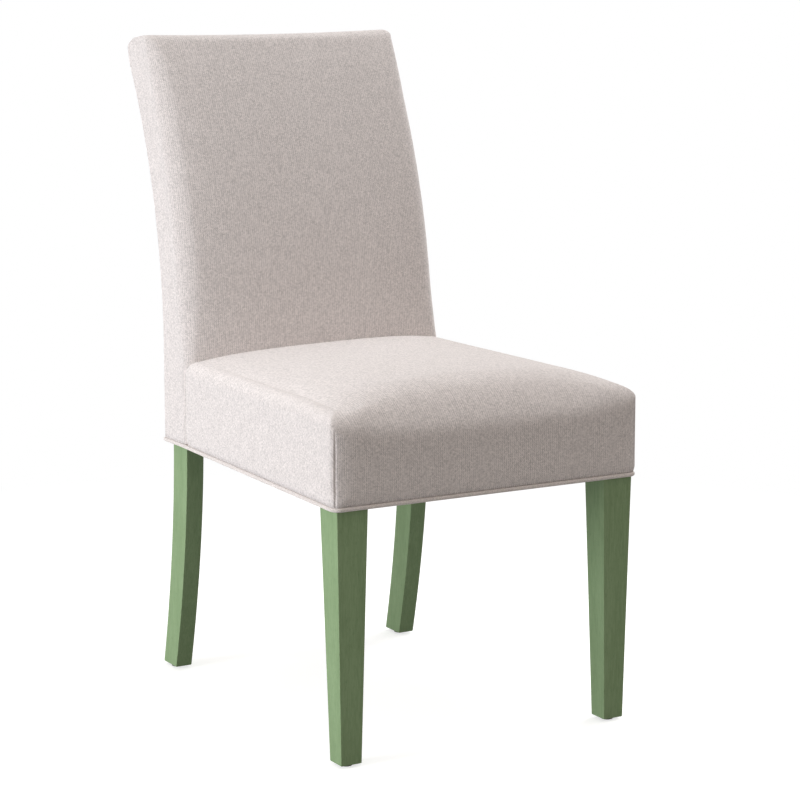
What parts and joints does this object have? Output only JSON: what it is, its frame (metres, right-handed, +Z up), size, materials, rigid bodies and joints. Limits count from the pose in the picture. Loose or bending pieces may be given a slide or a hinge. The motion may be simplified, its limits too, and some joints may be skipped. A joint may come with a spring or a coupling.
{
  "type": "parsons chair",
  "caption": "Upholstered parsons dining chair: boxed seat, tall back that bends to the rear, a welt round the lower edge, square tapered front legs and swept rear legs.",
  "frame": {"origin": "on the floor, midway across the chair and midway between its front face and the rearmost point of its back", "axes": "+X to the chair's right as seen from the front, +Y from the front to the rear, +Z up"},
  "size_m": [0.4942, 0.723, 0.9673],
  "materials": {
    "stained_wood": "thin grey-green stain on solid hardwood, satin, fine vertical grain",
    "frame_wood": "planed raw hardwood, unfinished",
    "linen": "plain-weave linen in a pinkish beige, fine slubs",
    "linen_welt": "the same linen, cut on the bias over a cord",
    "foam": "flexible polyurethane foam, pale yellow",
    "wadding": "white polyester wadding",
    "webbing": "elastic upholstery webbing",
    "burlap": "open plain-weave jute",
    "backing_card": "stiff upholstery board, matt",
    "cambric": "black non-woven dust cloth",
    "screw_steel": "zinc-plated steel",
    "glide_nylon": "dark moulded nylon on a nail"
  },
  "bodies": {
    "root": {"back_burlap": "burlap", "back_cover": "linen", "back_foam": "foam", "back_post_left": "stained_wood", "back_post_right": "stained_wood", "back_rail": "frame_wood", "back_rail_screw_left": "screw_steel", "back_rail_screw_right": "screw_steel", "back_side_pad_left": "foam", "back_side_pad_right": "foam", "back_web_1": "webbing", "back_web_2": "webbing", "back_web_3": "webbing", "back_web_4": "webbing", "crest_rail": "frame_wood", "dust_cover": "cambric", "front_corner_block_left": "frame_wood", "front_corner_block_right": "frame_wood", "front_glide_left": "glide_nylon", "front_glide_right": "glide_nylon", "front_leg_left": "stained_wood", "front_leg_right": "stained_wood", "front_rail": "frame_wood", "front_rail_screw_left": "screw_steel", "front_rail_screw_right": "screw_steel", "front_side_screw_left": "screw_steel", "front_side_screw_right": "screw_steel", "lower_back_rail": "frame_wood", "outside_back_card": "backing_card", "outside_back_panel": "linen", "outside_back_wadding": "wadding", "rear_corner_block_left": "frame_wood", "rear_corner_block_right": "frame_wood", "rear_glide_left": "glide_nylon", "rear_glide_right": "glide_nylon", "rear_side_screw_left": "screw_steel", "rear_side_screw_right": "screw_steel", "seat_cover": "linen", "seat_deck_cloth": "burlap", "seat_foam": "foam", "seat_wadding": "wadding", "seat_web_cross_1": "webbing", "seat_web_cross_2": "webbing", "seat_web_cross_3": "webbing", "seat_web_long_1": "webbing", "seat_web_long_2": "webbing", "seat_web_long_3": "webbing", "side_rail_left": "frame_wood", "side_rail_right": "frame_wood", "welt": "linen_welt"}
  },
  "joints": []
}
